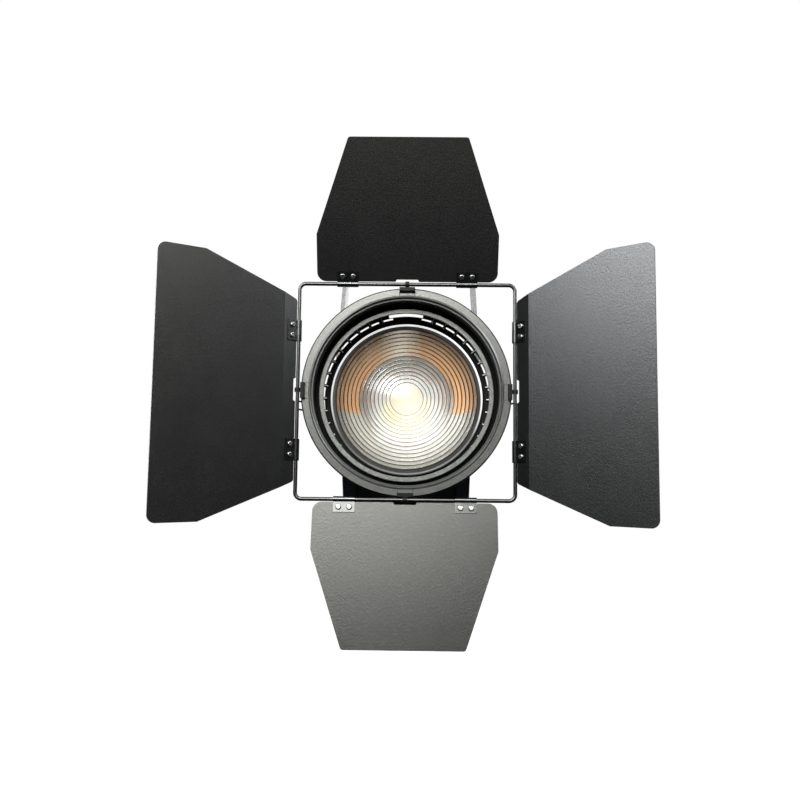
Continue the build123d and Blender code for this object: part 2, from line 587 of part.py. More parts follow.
def make_heat_sink():
    y0 = CARRIAGE_Y + 4.2
    base = box((-44, 44), (y0, y0 + 5), (-44, 44))
    fins = [box((x - 0.7, x + 0.7), (y0 + 4, y0 + 32), (-44, 44)) for x in range(-42, 43, 6)]
    return fuse([base, *fins])


def make_cob():
    y1 = CARRIAGE_Y - 6.05
    board = box((-19, 19), (y1 - 1.4, y1), (-19, 19))
    return board + rod_y(COB_R, y1 - 2.2, y1 - 1.2)


def make_cob_frame():
    y1, seat = CARRIAGE_Y - 6.05, 19.1
    frame = box((-29, 29), (y1 - 3.6, y1), (-29, 29))
    frame = frame - box((-seat, seat), (y1 - 5, y1 + 1), (-seat, seat))
    cover = box((-23, 23), (y1 - 4.6, y1 - 2.6), (-23, 23)) - rod_y(COB_R + 1.5, y1 - 6, y1)
    return frame + cover


# ---- ring mounting, latch and safety eye ----
def make_ring_hooks():
    """Hooks on the barrel that hold the ring's rear flange."""
    reach = BARREL_R - 0.4
    hook = box((-9, 9), (CATCH_Y[0], 40), (128.6, 130.4))
    hook = hook + box((-9, 9), CATCH_Y, (124.6, 129.5))
    hook = hook + box((-9, 9), (33.0, 40), (reach, 129.5))
    return group(around(hook - rod_y(BARREL_R + 0.05, 30, 45), (90, 180, 270)))


def make_latch_block():
    """Guide of the top latch: bored for its plunger and slotted for the arm of its catch."""
    block = box((-9, 9), (BEZEL_Y + 1.5, LATCH_Y + 6), (BARREL_R - 0.8, 134.4))
    block = block - rod_y(BARREL_R + 0.05, 30, 50)
    block = block - box((-6.4, 6.4), (BEZEL_Y, LATCH_Y), (FLANGE_R + 0.9, 140))
    return block - rod(LATCH_R + RUN, (0, LATCH_Y, 110), (0, LATCH_Y, 140))


def make_latch_pin():
    """Sprung plunger of the top latch. Pulling it up lifts its catch off the ring's flange."""
    pin = rod(LATCH_R, (0, LATCH_Y, BARREL_R + 0.6), (0, LATCH_Y, 136))
    arm = box((-6, 6), (CATCH_Y[0], LATCH_Y), (FLANGE_R + 1.1, FLANGE_R + 2.3))
    catch = box((-6, 6), CATCH_Y, (FLANGE_R - 1.8, FLANGE_R + 2.3))
    button = fillet(rod(5.5, (0, LATCH_Y, 135.2), (0, LATCH_Y, 140.4)).edges(), 0.8)
    return fuse([pin, arm, catch, button])


def make_safety_eye():
    """Folded plate with the safety-cable hole, on the rear top flat of the housing."""
    base = box((-15, 15), (276, 304), (HOUSE_APOTHEM + 0.1, HOUSE_APOTHEM + 3.1))
    tab = box((-1.5, 1.5), (276, 304), (HOUSE_APOTHEM + 2, HOUSE_APOTHEM + 26))
    eye = fillet((base + tab).edges().filter_by(Axis.X).sort_by(Axis.Z)[-2:], 11)
    return eye - rod(6.5, (-10, 290, HOUSE_APOTHEM + 14), (10, 290, HOUSE_APOTHEM + 14))


def make_case_screws():
    """Pan-head screws of the rear cover and of the control panel."""
    places = [(x, HOUSE_BACK_Y + COVER_DEEP + 0.1, z, 12.0) for x, z in cover_screw_spots()]
    places += [(x, BOX_BACK_Y + PANEL_FACE + 0.1, z, 6.4) for x, z in panel_screw_spots()]
    return group([Plane(origin=(x, y, z), z_dir=(0, 1, 0)) * pan_screw(3.5, 2.2, CASE_SCREW_R, length)
                  for x, y, z, length in places])


# ---- barn door ----
def make_wire_frame():
    half, r = HINGE_Z, WIRE_CORNER
    straight = rod(WIRE_R, (-half + r, 0, half), (half - r, 0, half))
    corner = Pos(half - r, 0, half - r) * Rot(90, 0, 0) * Torus(r, WIRE_R)
    corner = corner & box((half - r, half + 9), (-9, 9), (half - r, half + 9))
    return fuse(around(straight + corner, (0, 90, 180, 270)))


def make_barndoor_ring():
    """Pressed ring: flat face, rolled inner edge, outer skirt and a collar that turns on the barrel."""
    y = RING_FACE_Y
    collar_in = BARREL_NECK_R + 0.6
    ring = turned([(RING_MOUTH, y + 1.2), (RING_MOUTH, y - 0.4), (RING_MOUTH + 0.9, y - 1.0),
                   (RING_MOUTH + 2.2, y - 0.4), (RING_MOUTH + 3.0, y), (RING_R - 1.6, y),
                   (RING_R, y + 1.6), (RING_R, y + 15), (RING_R - SHEET, y + 15),
                   (RING_R - SHEET, y + 2.4), (collar_in + SHEET, y + SHEET + 0.8),
                   (collar_in + SHEET, y + 11.8), (FLANGE_R, y + 11.8), (FLANGE_R, y + 13.4),
                   (collar_in, y + 13.4), (collar_in, y + SHEET)])
    tab = box((-10.2, 10.2), (y - 0.5, y + 0.6), (122.0, 130.4))
    tab = tab - box((-9.5, 9.5), (y - 1, y + 1), (122.7, 131))
    for outline in around(tab, (0, 90, 180, 270)):
        ring = ring - outline
    return ring


def make_ring_clips():
    """Blocks that carry the wire frame on the ring, each with a loop round the wire."""
    y = RING_FACE_Y
    block = box((-10, 10), (-1.5, y - 0.05), (128.8, 134.2))
    block = chamfer(block.edges().filter_by(Axis.X), 0.8)
    neck = box((-2.5, 2.5), (-1.5, 1.5), (133, HINGE_Z))
    loop = rod(WIRE_R + 1.4, (-2.5, 0, HINGE_Z), (2.5, 0, HINGE_Z))
    rivets = [rod_y(1.7, -2.3, -1.0, x, 131.5) for x in (-6.5, 6.5)]
    clip = fuse([block, neck, loop, *rivets]) - rod(WIRE_R, (-4, 0, HINGE_Z), (4, 0, HINGE_Z))
    pegs = [rod(1.1, (side * (RING_R - 4), y + 7, z), (side * HINGE_Z, 0.8, z))
            - rod_y(RING_R + 0.05, 0, 30)
            - rod(WIRE_R + 0.05, (side * HINGE_Z, 0, -50), (side * HINGE_Z, 0, 50))
            for side, z in ((-1, -14.2), (-1, -24.5), (1, -14.2))]
    return group([*around(clip, (0, 90, 180, 270)), *pegs])


def leaf_place(side):
    """From a leaf's own frame (x along the hinge, y outwards, z to the front) to the lamp."""
    flat = Plane(origin=(0, 0, HINGE_Z), x_dir=(1, 0, 0), z_dir=(0, -1, 0))
    return Rot(0, SIDE_TURN[side], 0) * flat.location * Rot(REST_TILT[side], 0, 0)


def notch_points():
    n, d = NOTCH_HALF, NOTCH_DEEP
    return [(n, LEAF_GAP), (n - 1.6, LEAF_GAP + d), (-n + 1.6, LEAF_GAP + d), (-n, LEAF_GAP)]


def screw_spots():
    return [(s * CLIP_AT + d, 10.0) for s in (-1, 1) for d in (-SCREW_SPREAD, SCREW_SPREAD)]


def make_flat_leaf():
    face = make_face(Polyline((-LEAF_HALF_HINGE, LEAF_GAP), (-LEAF_HALF_WIDE, LEAF_WIDE_AT),
                              (-LEAF_HALF_END, LEAF_LEN), (LEAF_HALF_END, LEAF_LEN),
                              (LEAF_HALF_WIDE, LEAF_WIDE_AT), (LEAF_HALF_HINGE, LEAF_GAP),
                              *notch_points(), close=True))
    hinge = [v for v in face.vertices() if abs(v.Y - LEAF_GAP) < 0.01 and abs(v.X) > 100]
    face = fillet(hinge, 12)
    ends = [v for v in face.vertices() if abs(v.Y - LEAF_LEN) < 0.01]
    face = fillet(ends, 4)
    kinks = [v for v in face.vertices() if abs(abs(v.X) - LEAF_HALF_WIDE) < 0.01]
    return Pos(0, 0, -LEAF_T / 2) * extrude(fillet(kinks, 6), LEAF_T)


def make_side_leaf():
    """Leaf with a folded hinge strip: the bent section run along the hinge, trimmed to outline."""
    a, h = radians(SIDE_FOLD), LEAF_T / 2
    shrink = cos(a)

    def plan(u):
        return SIDE_FOLD_AT + (u - SIDE_FOLD_AT) * shrink

    outline = make_face(Polyline((-SIDE_HALF_HINGE, LEAF_GAP), (-SIDE_HALF_KINK, plan(SIDE_KINK_AT)),
                                 (-SIDE_HALF_END, plan(SIDE_LEN)), (SIDE_HALF_END, plan(SIDE_LEN)),
                                 (SIDE_HALF_KINK, plan(SIDE_KINK_AT)), (SIDE_HALF_HINGE, LEAF_GAP),
                                 *notch_points(), close=True))
    ends = [v for v in outline.vertices() if v.Y > plan(SIDE_LEN) - 0.01]
    outline = fillet(ends, 10)
    hinge = [v for v in outline.vertices() if abs(v.Y - LEAF_GAP) < 0.01 and abs(v.X) > 100]
    outline = fillet(hinge, 5)
    far = SIDE_LEN + 5 - SIDE_FOLD_AT
    tan_half = sin(a) / (1 + cos(a))
    bent = make_face(Polyline((LEAF_GAP - 1, -h), (SIDE_FOLD_AT - h * tan_half, -h),
                              (SIDE_FOLD_AT + far * cos(a) - h * sin(a), -h * cos(a) - far * sin(a)),
                              (SIDE_FOLD_AT + far * cos(a) + h * sin(a), h * cos(a) - far * sin(a)),
                              (SIDE_FOLD_AT + h * tan_half, h), (LEAF_GAP - 1, h), close=True))
    section = Plane(origin=(-190, 0, 0), x_dir=(0, 1, 0), z_dir=(1, 0, 0)) * bent
    return extrude(section, 380, dir=(1, 0, 0)) & Pos(0, 0, -80) * extrude(outline, 160)


def make_leaf(side):
    leaf = make_flat_leaf() if side in ("top", "bottom") else make_side_leaf()
    for x, u in screw_spots():
        leaf = leaf - rod(2.1, (x, u, -5), (x, u, 5))
    return leaf_place(side) * leaf


def make_hinge_clips(side):
    """Two folded straps per leaf: a loop on the wire and a plate on each face of the leaf."""
    inner, outer, gap = WIRE_R + RUN, WIRE_R + 1.4, LEAF_T / 2 + 0.03
    clips = []
    for s in (-1, 1):
        x0, x1 = s * CLIP_AT - CLIP_W / 2, s * CLIP_AT + CLIP_W / 2
        clip = rod(outer, (x0, 0, 0), (x1, 0, 0))
        for low, high in ((gap, gap + 1.3), (-gap - 1.3, -gap)):
            clip = clip + box((x0, x1), (1.5, LEAF_GAP + 13.0), (low, high))
        clip = clip - rod(inner, (x0 - 1, 0, 0), (x1 + 1, 0, 0))
        clip = clip - box((x0 - 1, x1 + 1), (LEAF_GAP - 0.3, 30), (-gap, gap))
        for d in (-SCREW_SPREAD, SCREW_SPREAD):
            clip = clip - rod(2.0, (s * CLIP_AT + d, 10.0, -8), (s * CLIP_AT + d, 10.0, 8))
        clips.append(clip)
    return leaf_place(side) * group(clips)


def make_hinge_screws(side):
    top = LEAF_T / 2 + 1.36
    screw = pan_screw(3.6, 2.2, 2.0, 2 * top + 0.6)
    turns = (20, -35, 50, 5)
    return leaf_place(side) * group([Pos(x, u, top) * Rot(0, 0, turn) * screw
                                     for (x, u), turn in zip(screw_spots(), turns)])


# ---- all nodes ----
nodes["yoke"] = make_yoke()
nodes["barrel"] = make_barrel()
nodes["front_bezel"] = make_bezel()
nodes["lens_holder"] = make_lens_holder()
nodes["fresnel_lens"] = make_lens()
nodes["lens_clips"] = make_lens_clips()
nodes["bulkhead"] = make_bulkhead()
nodes["liner_upper"] = half_liner(-12.0, 120)
nodes["liner_lower"] = half_liner(-120, -12.3)
nodes["rear_housing"] = make_rear_housing()
nodes["rear_cover"] = make_rear_cover()
nodes["fan_frame"] = make_fan_frame()
nodes["fan_rotor"] = make_fan_rotor()
nodes["fan_guard"] = make_fan_guard()
nodes["tilt_bosses"] = make_tilt_bosses()
nodes["friction_washers"] = make_friction_washers()
nodes["pivot_bolt"] = make_pivot_bolt()
nodes["tilt_knob"] = make_tilt_knob()
nodes["tilt_stud"] = make_tilt_stud()
nodes["driver_box"] = make_driver_box()
nodes["driver_box_rails"] = make_driver_rails()
nodes["driver_board"] = make_driver_board()
nodes["control_panel"] = make_control_panel()
nodes["display_window"] = make_display()
nodes["power_inlet"] = make_power_inlet()
nodes["power_switch"] = make_power_switch()
nodes["power_rocker"] = make_power_rocker()
nodes["dimmer_knob"] = make_dimmer_knob()
nodes["menu_button"] = make_menu_button()
nodes["guide_rods"] = make_guide_rods()
nodes["rod_brackets"] = make_rod_brackets()
nodes["carriage_plate"] = make_carriage()
nodes["carriage_bushes"] = make_bushes()
nodes["drive_nut"] = make_drive_nut()
nodes["lead_screw"] = make_lead_screw()
nodes["focus_knob"] = make_focus_knob()
nodes["heat_spreader"] = make_heat_spreader()
nodes["heat_sink"] = make_heat_sink()
nodes["cob_led"] = make_cob()
nodes["cob_frame"] = make_cob_frame()
nodes["ring_hooks"] = make_ring_hooks()
nodes["latch_block"] = make_latch_block()
nodes["latch_pin"] = make_latch_pin()
nodes["safety_eye"] = make_safety_eye()
nodes["case_screws"] = make_case_screws()
nodes["barndoor_ring"] = make_barndoor_ring()
nodes["ring_clips"] = make_ring_clips()
nodes["wire_frame"] = make_wire_frame()
for name in SIDE_TURN:
    nodes[f"leaf_{name}"] = make_leaf(name)
    nodes[f"hinge_clips_{name}"] = make_hinge_clips(name)
    nodes[f"hinge_screws_{name}"] = make_hinge_screws(name)

os.makedirs("parts", exist_ok=True)
for name, shape in nodes.items():
    export_step(Pos(*(-YOKE_BOLT)) * shape, f"parts/{name}.step")
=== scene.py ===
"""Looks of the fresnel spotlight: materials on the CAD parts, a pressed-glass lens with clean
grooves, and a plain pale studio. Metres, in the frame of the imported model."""
from math import cos, pi, radians, sin

import bpy
from mathutils import Matrix, Vector


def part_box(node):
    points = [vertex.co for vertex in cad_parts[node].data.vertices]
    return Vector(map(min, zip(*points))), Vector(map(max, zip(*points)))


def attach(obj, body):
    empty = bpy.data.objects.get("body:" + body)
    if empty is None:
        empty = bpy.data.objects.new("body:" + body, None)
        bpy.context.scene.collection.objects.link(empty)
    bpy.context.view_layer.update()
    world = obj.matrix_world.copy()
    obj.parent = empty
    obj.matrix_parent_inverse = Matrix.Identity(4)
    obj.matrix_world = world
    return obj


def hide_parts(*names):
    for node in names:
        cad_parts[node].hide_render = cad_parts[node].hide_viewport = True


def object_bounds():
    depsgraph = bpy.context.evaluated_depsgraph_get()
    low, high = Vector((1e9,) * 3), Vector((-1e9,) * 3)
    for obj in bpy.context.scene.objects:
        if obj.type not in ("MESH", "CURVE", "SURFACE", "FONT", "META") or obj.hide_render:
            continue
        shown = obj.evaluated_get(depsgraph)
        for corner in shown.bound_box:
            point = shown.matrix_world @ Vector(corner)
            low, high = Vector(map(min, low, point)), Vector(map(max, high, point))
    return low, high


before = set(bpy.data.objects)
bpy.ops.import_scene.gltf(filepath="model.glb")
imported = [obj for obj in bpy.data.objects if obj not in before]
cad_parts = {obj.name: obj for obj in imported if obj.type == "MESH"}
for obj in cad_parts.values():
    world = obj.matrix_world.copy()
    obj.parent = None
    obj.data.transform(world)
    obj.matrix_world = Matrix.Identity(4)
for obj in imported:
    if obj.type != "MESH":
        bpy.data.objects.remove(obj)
cad_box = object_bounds()

MM = 0.001


def middle(node):
    low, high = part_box(node)
    return (low + high) / 2


CENTRE = middle("wire_frame")      # middle of the square wire frame, on the beam axis
LENS_LOW, LENS_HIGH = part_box("fresnel_lens")
LENS_R = (LENS_HIGH.x - LENS_LOW.x) / 2
HOLDER_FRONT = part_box("lens_holder")[0].y
RING_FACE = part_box("barndoor_ring")[0].y + 1.0 * MM      # behind the rolled edge of its mouth
BEZEL_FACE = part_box("front_bezel")[0].y

# ---- camera ----
CAMERA_FROM_CENTRE = Vector((0.0128, -1.4273, -0.2085))
CAMERA_PITCH, CAMERA_YAW, CAMERA_ROLL = radians(7.85), radians(-0.82), radians(0.69)
CAMERA_LENS = 51.37                # mm, on a 36 mm sensor


def make_camera():
    data = bpy.data.cameras.new("camera")
    data.lens, data.sensor_width = CAMERA_LENS, 36.0
    data.clip_start, data.clip_end = 0.05, 60.0
    camera = bpy.data.objects.new("camera", data)
    bpy.context.scene.collection.objects.link(camera)
    ahead = Vector((sin(CAMERA_YAW) * cos(CAMERA_PITCH), cos(CAMERA_YAW) * cos(CAMERA_PITCH),
                    sin(CAMERA_PITCH)))
    level = Vector((cos(CAMERA_YAW), -sin(CAMERA_YAW), 0))
    above = level.cross(ahead)
    right = level * cos(CAMERA_ROLL) + above * sin(CAMERA_ROLL)
    up = above * cos(CAMERA_ROLL) - level * sin(CAMERA_ROLL)
    turn = Matrix((right, up, -ahead)).transposed().to_4x4()
    camera.matrix_world = Matrix.Translation(CENTRE + CAMERA_FROM_CENTRE) @ turn
    bpy.context.scene.camera = camera


# ---- material helper ----
class Look:
    """A material under construction: short calls for the nodes used here."""

    def __init__(self, name, **settings):
        self.material = bpy.data.materials.new(name)
        self.material.use_nodes = True
        self.tree = self.material.node_tree
        self.shader = self.tree.nodes["Principled BSDF"]
        self.place = self.new("ShaderNodeTexCoord").outputs["Object"]
        for socket, value in settings.items():
            self.shader.inputs[socket.replace("_", " ")].default_value = value

    def new(self, kind, **inputs):
        node = self.tree.nodes.new(kind)
        for name, value in inputs.items():
            self.put(node.inputs[name.replace("_", " ")], value)
        return node

    def put(self, socket, value):
        if isinstance(value, bpy.types.NodeSocket):
            self.tree.links.new(value, socket)
        else:
            socket.default_value = value

    def set(self, name, value):
        self.put(self.shader.inputs[name], value)

    def noise(self, size, detail=2.0, roughness=0.5, vector=None):
        """Noise with features of about this size, in metres."""
        node = self.new("ShaderNodeTexNoise", Vector=vector or self.place, Scale=1 / size,
                        Detail=detail, Roughness=roughness)
        return node.outputs["Fac"]

    def math(self, kind, a, b=0.0, clamp=False):
        node = self.tree.nodes.new("ShaderNodeMath")
        node.operation, node.use_clamp = kind, clamp
        self.put(node.inputs[0], a)
        self.put(node.inputs[1], b)
        return node.outputs[0]

    def spread(self, value, low, high, to_low, to_high):
        """A value between low and high, mapped to between to_low and to_high."""
        node = self.new("ShaderNodeMapRange", Value=value, From_Min=low, From_Max=high,
                        To_Min=to_low, To_Max=to_high)
        return node.outputs["Result"]

    def mix(self, factor, a, b):
        node = self.tree.nodes.new("ShaderNodeMix")
        node.data_type = "RGBA"
        for socket, value in ((0, factor), (6, a), (7, b)):
            self.put(node.inputs[socket], value)
        return node.outputs[2]

    def bump(self, height, depth, strength=1.0):
        node = self.new("ShaderNodeBump", Height=height, Distance=depth, Strength=strength)
        self.set("Normal", node.outputs["Normal"])

    def edges(self, width):
        """1 along sharp edges of the part, 0 on its faces."""
        bevel = self.new("ShaderNodeBevel", Radius=width)
        face = self.tree.nodes.new("ShaderNodeNewGeometry").outputs["Normal"]
        dot = self.tree.nodes.new("ShaderNodeVectorMath")
        dot.operation = "DOT_PRODUCT"
        self.put(dot.inputs[0], bevel.outputs["Normal"])
        self.put(dot.inputs[1], face)
        return self.spread(dot.outputs["Value"], 0.98, 0.82, 0.0, 1.0)

    def axis_radius(self):
        """Distance from the beam axis."""
        split = self.new("ShaderNodeSeparateXYZ", Vector=self.place)
        across = self.math("SUBTRACT", split.outputs["X"], CENTRE.x)
        above = self.math("SUBTRACT", split.outputs["Z"], CENTRE.z)
        squares = self.math("ADD", self.math("MULTIPLY", across, across),
                            self.math("MULTIPLY", above, above))
        return self.math("SQRT", squares)


def grey(level, tint=(1.0, 1.0, 1.0)):
    return (level * tint[0], level * tint[1], level * tint[2], 1.0)


COOL = (0.97, 1.0, 1.04)
GREEN = (0.98, 1.02, 0.97)


def powder_coat(name, level, roughness, grain=0.9 * MM, relief=0.05 * MM, tint=(1, 1, 1),
                edge_wear_and_highlight=0.25, specular=0.5, face=None):
    """Sprayed fine-texture paint: sandy grain, cloudy gloss, and edges rubbed lighter, as wear and as a
    painted highlight along the rims.
    With a face depth, all that lies deeper than it along the beam axis is black, as painted shade in
    grooves, recesses and behind rolled edges."""
    look = Look(name, Specular_IOR_Level=specular)
    fine = look.noise(grain, 3.0, 0.65)
    coarse = look.noise(grain * 2.4, 2.0, 0.6)
    cloud = look.noise(45 * MM, 3.0, 0.55)
    scuffs = look.noise(6 * MM, 4.0, 0.7)
    sand = look.mix(look.spread(coarse, 0.35, 0.65, 0, 1), grey(level * 0.6, tint),
                    grey(level * 1.4, tint))
    # Edges rubbed lighter: partly wear, partly a painted highlight along the rims.
    edge = look.math("MULTIPLY", look.edges(0.5 * MM), look.spread(scuffs, 0.42, 0.62, 0.25, 1.0))
    # Painted shade: black deeper than the face, with no wear and little gloss there.
    if face is not None:
        depth = look.new("ShaderNodeSeparateXYZ", Vector=look.place).outputs["Y"]
        painted_recess_shade = look.spread(depth, face, face + 0.1 * MM, 0, 1)
        sand = look.mix(painted_recess_shade, sand, grey(0.002))
        edge_wear_and_highlight = look.spread(painted_recess_shade, 0, 1, edge_wear_and_highlight, 0)
        look.set("Specular IOR Level", look.spread(painted_recess_shade, 0, 1, specular, 0.04))
    colour = look.mix(look.math("MULTIPLY", edge, edge_wear_and_highlight), sand, grey(0.32))
    look.set("Base Color", colour)
    gloss = look.math("ADD", look.spread(cloud, 0.3, 0.7, roughness - 0.01, roughness + 0.01),
                      look.spread(scuffs, 0.3, 0.7, -0.006, 0.006))
    look.set("Roughness", gloss)
    look.bump(look.math("ADD", fine, look.math("MULTIPLY", coarse, 1.6)), relief)
    return look.material


def bare_metal(name, level, roughness, tint=(1, 1, 1), stretch=(1, 1, 1), grain=0.4 * MM):
    """Metal with fine machining lines drawn out along one axis, and slight handling marks."""
    look = Look(name, Metallic=1.0)
    mapping = look.new("ShaderNodeMapping", Vector=look.place, Scale=stretch)
    lines = look.noise(grain, 3.0, 0.6, mapping.outputs["Vector"])
    marks = look.noise(9 * MM, 4.0, 0.65)
    look.set("Base Color", look.mix(look.spread(marks, 0.3, 0.7, 0, 1), grey(level * 0.82, tint),
                                    grey(level, tint)))
    look.set("Roughness", look.spread(lines, 0.3, 0.7, roughness - 0.07, roughness + 0.07))
    look.bump(lines, 0.012 * MM)
    return look.material


def moulded(name, colour, roughness, grain=0.5 * MM, relief=0.03 * MM, glow=0.0):
    """Moulded plastic with a spark-eroded grain and faint flow marks, and a painted glow as strong as
    glow.
    """
    look = Look(name, Emission_Color=colour, Emission_Strength=glow)
    dark = tuple(c * 0.8 for c in colour[:3]) + (1.0,)
    fine = look.noise(grain, 2.0, 0.5)
    flow = look.noise(20 * MM, 2.0, 0.5)
    look.set("Base Color", look.mix(flow, dark, colour))
    look.set("Roughness", look.spread(flow, 0.3, 0.7, roughness - 0.04, roughness + 0.04))
    look.bump(fine, relief)
    return look.material


# ---- particular materials ----
def holder_look():
    """Black enamel plate: the front edges of its fins are bare metal, and its lip round the lens is bare
    metal with a painted highlight growing towards the top and a painted glow.
    """
    look = Look("holder_enamel", Emission_Strength=1.0, Specular_IOR_Level=0.1)
    radius = look.axis_radius()
    depth = look.new("ShaderNodeSeparateXYZ", Vector=look.place).outputs["Y"]
    height = look.new("ShaderNodeSeparateXYZ", Vector=look.place).outputs["Z"]
    lip = look.spread(radius, LENS_R + 0.5 * MM, LENS_R + 0.7 * MM, 1, 0)
    # Painted highlight: the lip is lighter towards the top.
    lip_painted_highlight = look.spread(height, CENTRE.z - LENS_R * 0.5, CENTRE.z + LENS_R * 0.7, 0.05, 1)
    fins = look.spread(depth, HOLDER_FRONT + 0.4 * MM, HOLDER_FRONT + 0.8 * MM, 1, 0)
    fins = look.math("MULTIPLY", fins, look.spread(radius, LENS_R + 4.5 * MM, LENS_R + 5 * MM, 0, 0.8))
    bare = look.math("MAXIMUM", look.math("MULTIPLY", lip, lip_painted_highlight), fins)
    cloud = look.noise(12 * MM, 3.0)
    look.set("Base Color", look.mix(bare, look.mix(cloud, grey(0.002), grey(0.005)), grey(0.8)))
    # Painted glow: the lip glows, brighter towards the top, though it is no lamp.
    look.set("Emission Color", look.mix(look.math("MULTIPLY", lip, lip_painted_highlight), grey(0.0), grey(0.75)))
    look.set("Metallic", look.math("MULTIPLY", lip, 0.3))
    look.set("Roughness", look.mix(bare, grey(0.34), grey(0.3)))
    look.bump(look.noise(0.8 * MM), 0.02 * MM)
    return look.material


def glass_look(name, roughness, ripple, coat=0.0):
    """Clear pressed glass, slightly rippled, that lets the studio lights through. The coat is a
    faint fire polish, in which only the smallest and brightest lamps show."""
    look = Look(name, Transmission_Weight=1.0, IOR=1.49, Coat_Weight=coat, Coat_IOR=1.1,
                Coat_Roughness=0.03)
    look.set("Base Color", grey(0.97, (1.0, 1.0, 0.985)))
    look.set("Roughness", look.spread(look.noise(3 * MM, 3.0, 0.6), 0.3, 0.7, roughness * 0.7,
                                      roughness * 1.3))
    look.bump(look.noise(ripple, 2.0), 0.05 * MM)
    lit = look.tree.nodes.new("ShaderNodeLightPath")
    clear = look.new("ShaderNodeBsdfTransparent", Color=grey(0.5))
    chooser = look.new("ShaderNodeMixShader", Fac=lit.outputs["Is Shadow Ray"])
    look.tree.links.new(look.shader.outputs[0], chooser.inputs[1])
    look.tree.links.new(clear.outputs[0], chooser.inputs[2])
    look.tree.links.new(chooser.outputs[0], look.tree.nodes["Material Output"].inputs["Surface"])
    return look.material


def groove_look():
    """The steep sides of the grooves, which send the light of the cavity away from the front; they are
    painted dark and half clear, as painted shade for the dark lines they show.
    """
    look = Look("groove_glass", Transmission_Weight=0.4, IOR=1.49)
    # Painted shade: dark base colour for the dark lines of the groove sides.
    look.set("Base Color", look.mix(look.noise(20 * MM), grey(0.015), (0.05, 0.045, 0.035, 1)))
    look.set("Roughness", look.spread(look.noise(3 * MM), 0.3, 0.7, 0.12, 0.2))
    return look.material


def led_look():
    """Phosphor under a clear gel: warm cream with small light dots where the chips sit, and a faint
    painted glow standing in for light scattered inside the cavity.
    """
    look = Look("phosphor", Emission_Strength=0.45)
    dots = look.new("ShaderNodeTexVoronoi", Vector=look.place, Scale=1 / (1.6 * MM))
    spots = look.spread(dots.outputs["Distance"], 0.15, 0.45, 1, 0)
    tone = look.mix(spots, (0.95, 0.84, 0.52, 1), (0.98, 0.93, 0.76, 1))
    look.set("Base Color", tone)
    # Painted glow: the phosphor glows faintly in its own tone.
    look.set("Emission Color", tone)
    look.set("Roughness", look.spread(look.noise(2 * MM), 0.3, 0.7, 0.25, 0.4))
    look.bump(spots, 0.03 * MM)
    return look.material


def liner_look(name, colour, roughness, glow, sheen=0.0):
    """Formed reflective sheet with faint spinning lines round the beam axis, a painted sheen along its
    top, darker towards its front edge, and a painted glow for the light inside the cavity."""
    look = Look(name, Metallic=0.35, Emission_Strength=glow)
    radius = look.axis_radius()
    rings = look.noise(0.9 * MM, 2.0, 0.5, look.new("ShaderNodeCombineXYZ", X=radius).outputs[0])
    marks = look.noise(12 * MM, 3.0)
    dark = tuple(c * 0.8 for c in colour) + (1.0,)
    tone = look.mix(marks, dark, tuple(colour) + (1.0,))
    darker_to_front = look.spread(radius, LENS_R * 0.66, LENS_R * 0.94, 0, 0.9)
    tone = look.mix(darker_to_front, tone, grey(0.05))
    # Painted sheen: a pale cream stripe along the top, standing in for a reflection of the lamps.
    across = look.new("ShaderNodeSeparateXYZ", Vector=look.place).outputs["X"]
    off_top = look.math("ABSOLUTE", look.math("SUBTRACT", across, CENTRE.x - 8 * MM))
    painted_sheen_mask = look.spread(off_top, 4 * MM, 26 * MM, sheen, 0)
    tone = look.mix(painted_sheen_mask, tone, grey(0.9, (1.0, 0.93, 0.8)))
    look.set("Base Color", tone)
    # Painted glow: the liner glows in its own tone, standing in for light inside the cavity.
    look.set("Emission Color", tone)
    look.set("Roughness", look.spread(rings, 0.3, 0.7, roughness - 0.06, roughness + 0.06))
    look.bump(rings, 0.02 * MM)
    return look.material


def board_look():
    """Green circuit board with a finer copper pattern showing through the mask."""
    look = Look("circuit_board")
    tracks = look.new("ShaderNodeTexVoronoi", Vector=look.place, Scale=1 / (6 * MM))
    tracks.distance = "MANHATTAN"
    look.set("Base Color", look.mix(look.spread(tracks.outputs["Distance"], 0.3, 0.36, 0, 1),
                                    (0.01, 0.07, 0.03, 1), (0.02, 0.16, 0.07, 1)))
    look.set("Roughness", look.spread(look.noise(5 * MM), 0.3, 0.7, 0.3, 0.42))
    return look.material


def display_look():
    """Smoked window over an unlit display."""
    look = Look("display_window", Coat_Weight=0.6)
    look.set("Base Color", look.mix(look.noise(15 * MM), grey(0.006, COOL), grey(0.014, COOL)))
    look.set("Roughness", look.spread(look.noise(7 * MM, 3.0), 0.3, 0.7, 0.05, 0.12))
    look.bump(look.noise(30 * MM), 0.02 * MM)
    return look.material


LEAF = ["leaf_top", "leaf_right", "leaf_bottom", "leaf_left"]
SIDES = ("top", "right", "bottom", "left")

